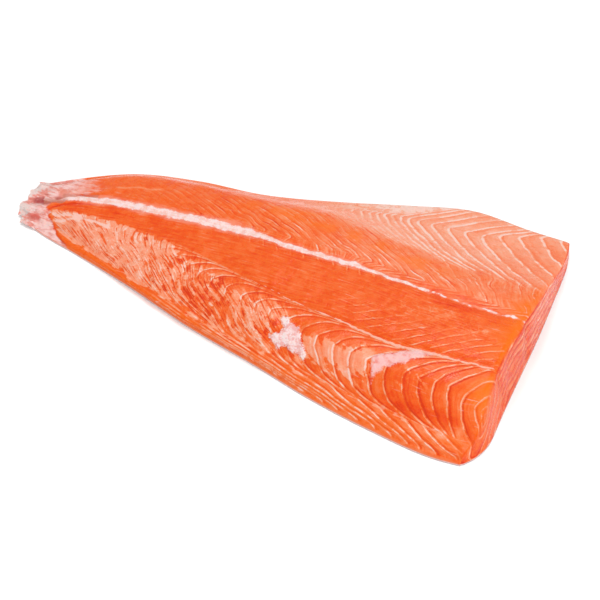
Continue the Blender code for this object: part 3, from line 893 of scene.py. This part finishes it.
def flesh_material():
    p = Paint("salmon_flesh")
    cloud = p.noise(p.place, 60.0, 2.0)
    mottle = p.noise(p.place, 240.0, 3.0, 0.6)
    grain = p.noise(p.place, 900.0, 2.0, 0.6)
    wobble = p.noise(p.place, 150.0, 3.0, 0.6) * 0.16
    tone, pink, painted_glow = p.stored("hue")
    chord, loin_seam, flank_seam = p.stored("seams")
    white, rose, film = p.stored("tears")
    membrane, cut, wall = p.stored("ends")
    web, scar_and_hollow_shade, v = p.stored("marks")
    x, y, _ = p.stored("run")
    top = 1 - cut

    fibre = p.noise(p.joined(x * 0.07, y * 1.05, 4.0), 1.0, 2.0, 0.6, 0.3) * top
    fibre_on = p.ramp(v, 3.4, 2.9, 0.35, 1.0) * p.ramp(v, 1.8, 2.1, 0.2, 1.0) + p.ramp(v, 1.1, 0.8) * 0.5
    tone = tone + cloud * 0.26 + mottle * (0.24 + cut * 0.35) + grain * 0.20 + fibre * fibre_on * 0.60
    height = mottle * 0.30 + grain * 0.10 + fibre * fibre_on * 0.25
    uneven = p.ramp(mottle + cloud, -0.16, 0.06, 0.35, 1.0)
    lines = 0.0
    # Pale lines brighten the tone and the painted shade just past each line darkens it; painted shade across
    # each flake runs from darker after the line to paler before the next.
    for seed, (name, pitch, width, waver, pale, painted_shade_gain, slope, streaky) in enumerate(FLAKE_FAMILIES):
        line, shade, share, streak = flake_marks(p, name, pitch, width, wobble * waver, 5.0 + 7 * seed)
        tone = tone + (line * pale - shade * painted_shade_gain) * uneven + share * slope + streak * streaky
        height = height + (line - shade) * uneven * 0.07 + streak * 0.16
        lines = line * uneven + lines
    painted_glow = painted_glow * (1 - p.ramp(lines, 0.2, 0.7) * 0.75)

    count, _, strokes_on = p.stored("film_strokes")
    tongue = flow_noise(p, count + wobble, FILM_PITCH, 5.5, 20.0, 61.0, 1.0)
    thin = flow_noise(p, count + wobble * 0.7, FILM_PITCH, 1.8, 13.0, 71.0, 0.5)
    veil = p.ramp(film * 0.85 + tongue * 2.2 + mottle * 1.2, 0.19, 0.39) * p.ramp(film, 0.0, 0.2)
    filmy = strokes_on * p.ramp(film, 0.0, 0.5, 0.3, 1.0)
    ridge = p.ramp(thin, 0.06, 0.13)
    tone = tone + veil * 0.32 + (ridge * 0.18 + grain * 0.35 + mottle * 0.15) * filmy
    # Painted shade in the film's creases, which are also pressed in a little and lose their pink.
    slit = flow_noise(p, count + wobble * 0.8, FILM_PITCH, 1.8, 12.0, 83.0, 1.5)
    painted_crease_shade = p.ramp(slit + mottle * 0.20 + cloud * 0.35, -0.05, -0.105) * filmy
    tone = tone - painted_crease_shade * 0.38
    height = height + (tongue * 0.45 + thin * 0.30) * filmy + veil * 0.08 - painted_crease_shade * 0.10
    pink = pink * (0.45 + veil * 0.55) * (1 - painted_crease_shade * 0.8)

    loops = p.ramp(p.maths("ABSOLUTE", p.noise(p.place, 150.0, 1.5, 0.5, 0.6)), 0.030, 0.006) * web
    tone = tone + loops * 0.18 + p.ramp(grain + mottle, 0.18, 0.28) * web * 0.12

    base = flesh_colour(p, p.maths("MAXIMUM", tone, DEEPEST_TONE), pink, painted_glow)
    patchy = p.ramp(mottle + grain * 0.6 + fibre * 0.6, -0.16, 0.10)
    tissue = p.mix(colour(250, 204, 192), colour(255, 232, 230), patchy)
    flank_on = p.ramp(flank_seam + mottle * 2.2 + fibre * 2.6, 0.25, 0.9) * top
    base = p.mix(base, colour(255, 180, 150), flank_on * 0.6)
    seam_on = p.ramp(loin_seam + mottle * 1.2, 0.0, 0.45) * top
    base = p.mix(base, colour(255, 192, 170), seam_on * 0.9)
    fringe = p.ramp(chord + cloud * 1.6 + fibre * 1.2, -0.9, 0.3) * top
    base = p.mix(base, colour(255, 172, 152), fringe * 0.5)
    chord_on = p.ramp(chord + mottle * 0.9 + grain * 0.4, 0.0, 0.40) * top
    base = p.mix(base, tissue, chord_on * 0.92)
    tear_on = p.ramp(white + mottle * 3.0 + grain * 3.5, -0.7, 0.9)
    tear_tone = p.mix(colour(244, 188, 184), colour(255, 236, 236), p.ramp(mottle + grain * 0.8, -0.14, 0.12))
    base = p.mix(base, tear_tone, tear_on * 0.90)
    rose_on = p.ramp(rose + mottle * 3.0 + grain * 3.5, -0.8, 1.2)
    rose_tone = p.mix(colour(242, 156, 146), colour(252, 206, 204), p.ramp(cloud + mottle * 0.8, -0.12, 0.12))
    base = p.mix(base, rose_tone, rose_on * 0.85)
    membrane_on = p.ramp(membrane + fibre * 1.9 + mottle * 0.5, 0.25, 0.75) * (1 - chord_on * 0.8)
    base = p.mix(base, membrane_tone(p), membrane_on)
    # Where the scar's own pinkish brown and the painted shade of the tail hollow go.
    scar_and_shade_tone = p.mix(colour(200, 92, 84), colour(206, 132, 112), p.ramp(cloud, -0.08, 0.12))
    base = p.mix(base, scar_and_shade_tone, scar_and_hollow_shade * p.ramp(mottle + fibre, -0.2, 0.0) * 0.85)
    base = p.mix(base, colour(252, 140, 96), p.ramp(wall, 0.0, 0.5) * top * 0.7)
    base = p.mix(base, colour(250, 186, 176), p.ramp(wall, 0.5, 1.0) * 0.8)

    height = height + seam_on * 0.12 + chord_on * 0.15 + tear_on * 0.18 + rose_on * 0.12
    rough = p.ramp(mottle + cloud, -0.15, 0.15, 0.22, 0.40)
    return p.finish(base, rough, height, Specular_IOR_Level=0.28, Subsurface_Weight=0.15,
                    Subsurface_Radius=(1.0, 0.30, 0.15), Subsurface_Scale=0.0010, IOR=1.4)


def membrane_tone(p):
    """Pink with pale streaks along the tail, greyer at the torn end, with three places of painted shade."""
    x, y, _ = p.parts(p.place)
    fibre = p.noise(p.joined(x * 110.0, y * 460.0, 2.0), 1.0, 3.0, 0.6, 0.6)
    cloud = p.noise(p.place, 130.0, 3.0, 0.6)
    tone = p.mix(colour(234, 150, 138), colour(252, 208, 202), p.ramp(fibre * 1.1 + cloud * 1.1, -0.18, 0.14))
    grey = p.ramp(x + cloud * 0.03, -0.154, -0.166) * p.ramp(fibre + cloud, -0.12, 0.10)
    tone = p.mix(tone, colour(226, 212, 206), grey * 0.75)
    warm = p.ramp(x + cloud * 0.02, -0.150, -0.136) * p.ramp(y, -0.012, 0.0)
    tone = p.mix(tone, colour(250, 156, 128), warm * 0.55)
    for place, slope, size, shade, share in MEMBRANE_PAINTED_SHADE:
        along_x = (x - place[0]) * (1 / size[0])
        along_y = (y - place[1] - (x - place[0]) * slope + fibre * 0.004) * (1 / size[1])
        spread = along_x * along_x + along_y * along_y + cloud * 1.5
        tone = p.mix(tone, colour(*shade), p.ramp(spread, 1.3, 0.1) * share)
    return tone


def membrane_material():
    p = Paint("tail_membrane")
    x, y, _ = p.parts(p.place)
    fibre = p.noise(p.joined(x * 90.0, y * 620.0, 2.0), 1.0, 2.0, 0.6, 0.5)
    mottle = p.noise(p.place, 300.0, 3.0, 0.6)
    rough = p.ramp(mottle, -0.15, 0.15, 0.22, 0.38)
    return p.finish(membrane_tone(p), rough, fibre * 0.35 + mottle * 0.3, Specular_IOR_Level=0.35,
                    Subsurface_Weight=0.3, Subsurface_Radius=(1.0, 0.5, 0.4), Subsurface_Scale=0.001)


def skin_material():
    """Silver in rows of scales, darker toward the back, and pink where its rim stands up."""
    p = Paint("silver_skin")
    x, y, z = p.parts(p.place)
    cloud = p.noise(p.place, 30.0, 3.0)
    mottle = p.noise(p.place, 260.0, 2.0)
    per_scale = 1 / (SCALE_PITCH * MM)
    row = p.maths("FLOOR", y * per_scale)
    along_scale = p.maths("FRACT", x * per_scale + row * 0.5) - 0.25
    across_scale = p.maths("FRACT", y * per_scale) - 0.5
    reach = p.maths("SQRT", along_scale * along_scale + across_scale * across_scale)
    rim = p.ramp(reach + mottle * 0.15, 0.36, 0.56)
    back = p.ramp(y + cloud * 0.03, 0.01, -0.06)
    base = p.mix(colour(214, 216, 220), colour(118, 126, 138), back * 0.85)
    base = p.mix(base, colour(238, 240, 242), p.ramp(mottle + cloud, -0.05, 0.2) * 0.35)
    base = p.mix(base, colour(96, 104, 116), rim * 0.35)
    base = p.mix(base, colour(252, 206, 200), p.ramp(z, 0.00013, 0.0003) * 0.9)
    rough = p.ramp(mottle + cloud, -0.2, 0.2, 0.24, 0.42)
    return p.finish(base, rough, rim * -0.18 + mottle * 0.06, Specular_IOR_Level=0.5)


FLOOR_REACH = 3.0
FLOOR_LOOK = {"Base Color": (0.96, 0.96, 0.96), "Roughness": 0.9, "Specular IOR Level": 0.0}
STUDIO_SKY = 0.78
# The studio's lights: name, place, size in metres and watts.
STUDIO_LIGHTS = (("key", (-0.16, 0.36, 1.45), 0.5, 8.0), ("fill", (0.55, -0.95, 1.0), 0.9, 5.5),
                 ("side", (1.25, -0.25, 0.55), 0.7, 3.5))


def studio_floor():
    bm = bmesh.new()
    bmesh.ops.create_grid(bm, x_segments=1, y_segments=1, size=FLOOR_REACH)
    p = Paint("pale_floor")
    for name, value in FLOOR_LOOK.items():
        p.plug(p.shader.inputs[name], value)
    return add_piece("studio_floor", bm, p.material)


def add_light(name, place, size, watts):
    data = bpy.data.lights.new(name, "AREA")
    data.shape = "DISK"
    data.size = size
    data.energy = watts
    light = bpy.data.objects.new(name, data)
    light.location = place
    light.rotation_euler = (-Vector(place)).to_track_quat("-Z", "Y").to_euler()
    bpy.context.scene.collection.objects.link(light)


def studio_light():
    world = bpy.data.worlds.new("studio")
    bpy.context.scene.world = world
    world.use_nodes = True
    background = world.node_tree.nodes["Background"]
    background.inputs["Color"].default_value = (1.0, 1.0, 1.0, 1.0)
    background.inputs["Strength"].default_value = STUDIO_SKY
    for light in STUDIO_LIGHTS:
        add_light(*light)
    bpy.context.scene.view_settings.view_transform = "Standard"
    bpy.context.scene.view_settings.look = "None"


CAMERA_ELEVATION = math.radians(48)
CAMERA_TURN = math.radians(22.8)
CAMERA_DISTANCE = 0.92
CAMERA_TARGET = Vector((0.0268, -0.0135, 0.0))
CAMERA_LENS = 90
CAMERA_SENSOR = 36


def studio_camera():
    data = bpy.data.cameras.new("camera")
    data.lens = CAMERA_LENS
    data.sensor_width = CAMERA_SENSOR
    camera = bpy.data.objects.new("camera", data)
    flat = math.cos(CAMERA_ELEVATION)
    back = Vector((math.sin(CAMERA_TURN) * flat, -math.cos(CAMERA_TURN) * flat, math.sin(CAMERA_ELEVATION)))
    camera.location = CAMERA_TARGET + back * CAMERA_DISTANCE
    camera.rotation_euler = (-back).to_track_quat("-Z", "Y").to_euler()
    bpy.context.scene.collection.objects.link(camera)
    bpy.context.scene.camera = camera


def belly_reach():
    """The solid's greatest y before it was centred: the widest place of the belly edge."""
    x = np.linspace(TAIL_X, CUT_X, 2000)
    return float(along(LINE_Y, x)[-1].max())


sheet = Sheet()
pieces = [add_flesh(sheet), add_piece("skin", skin_mesh(sheet), skin_material())]
membrane = membrane_material()
for k, flap in enumerate(FLAPS, 1):
    pieces.append(add_piece(f"tail_membrane_{k}", flap_mesh(sheet, *flap), membrane))
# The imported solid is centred, and before that it reached to CUT_X and to belly_reach.
box = Vector(CAD_BOX[1]) - Vector(CAD_BOX[0])
shift = Vector((box.x / 2 - CUT_X, box.y / 2 - belly_reach(), 0.0))
for piece in pieces:
    piece.data.transform(Matrix.Translation(shift))
    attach(piece, "root")
    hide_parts("fillet")
floor = studio_floor()
studio_light()
studio_camera()
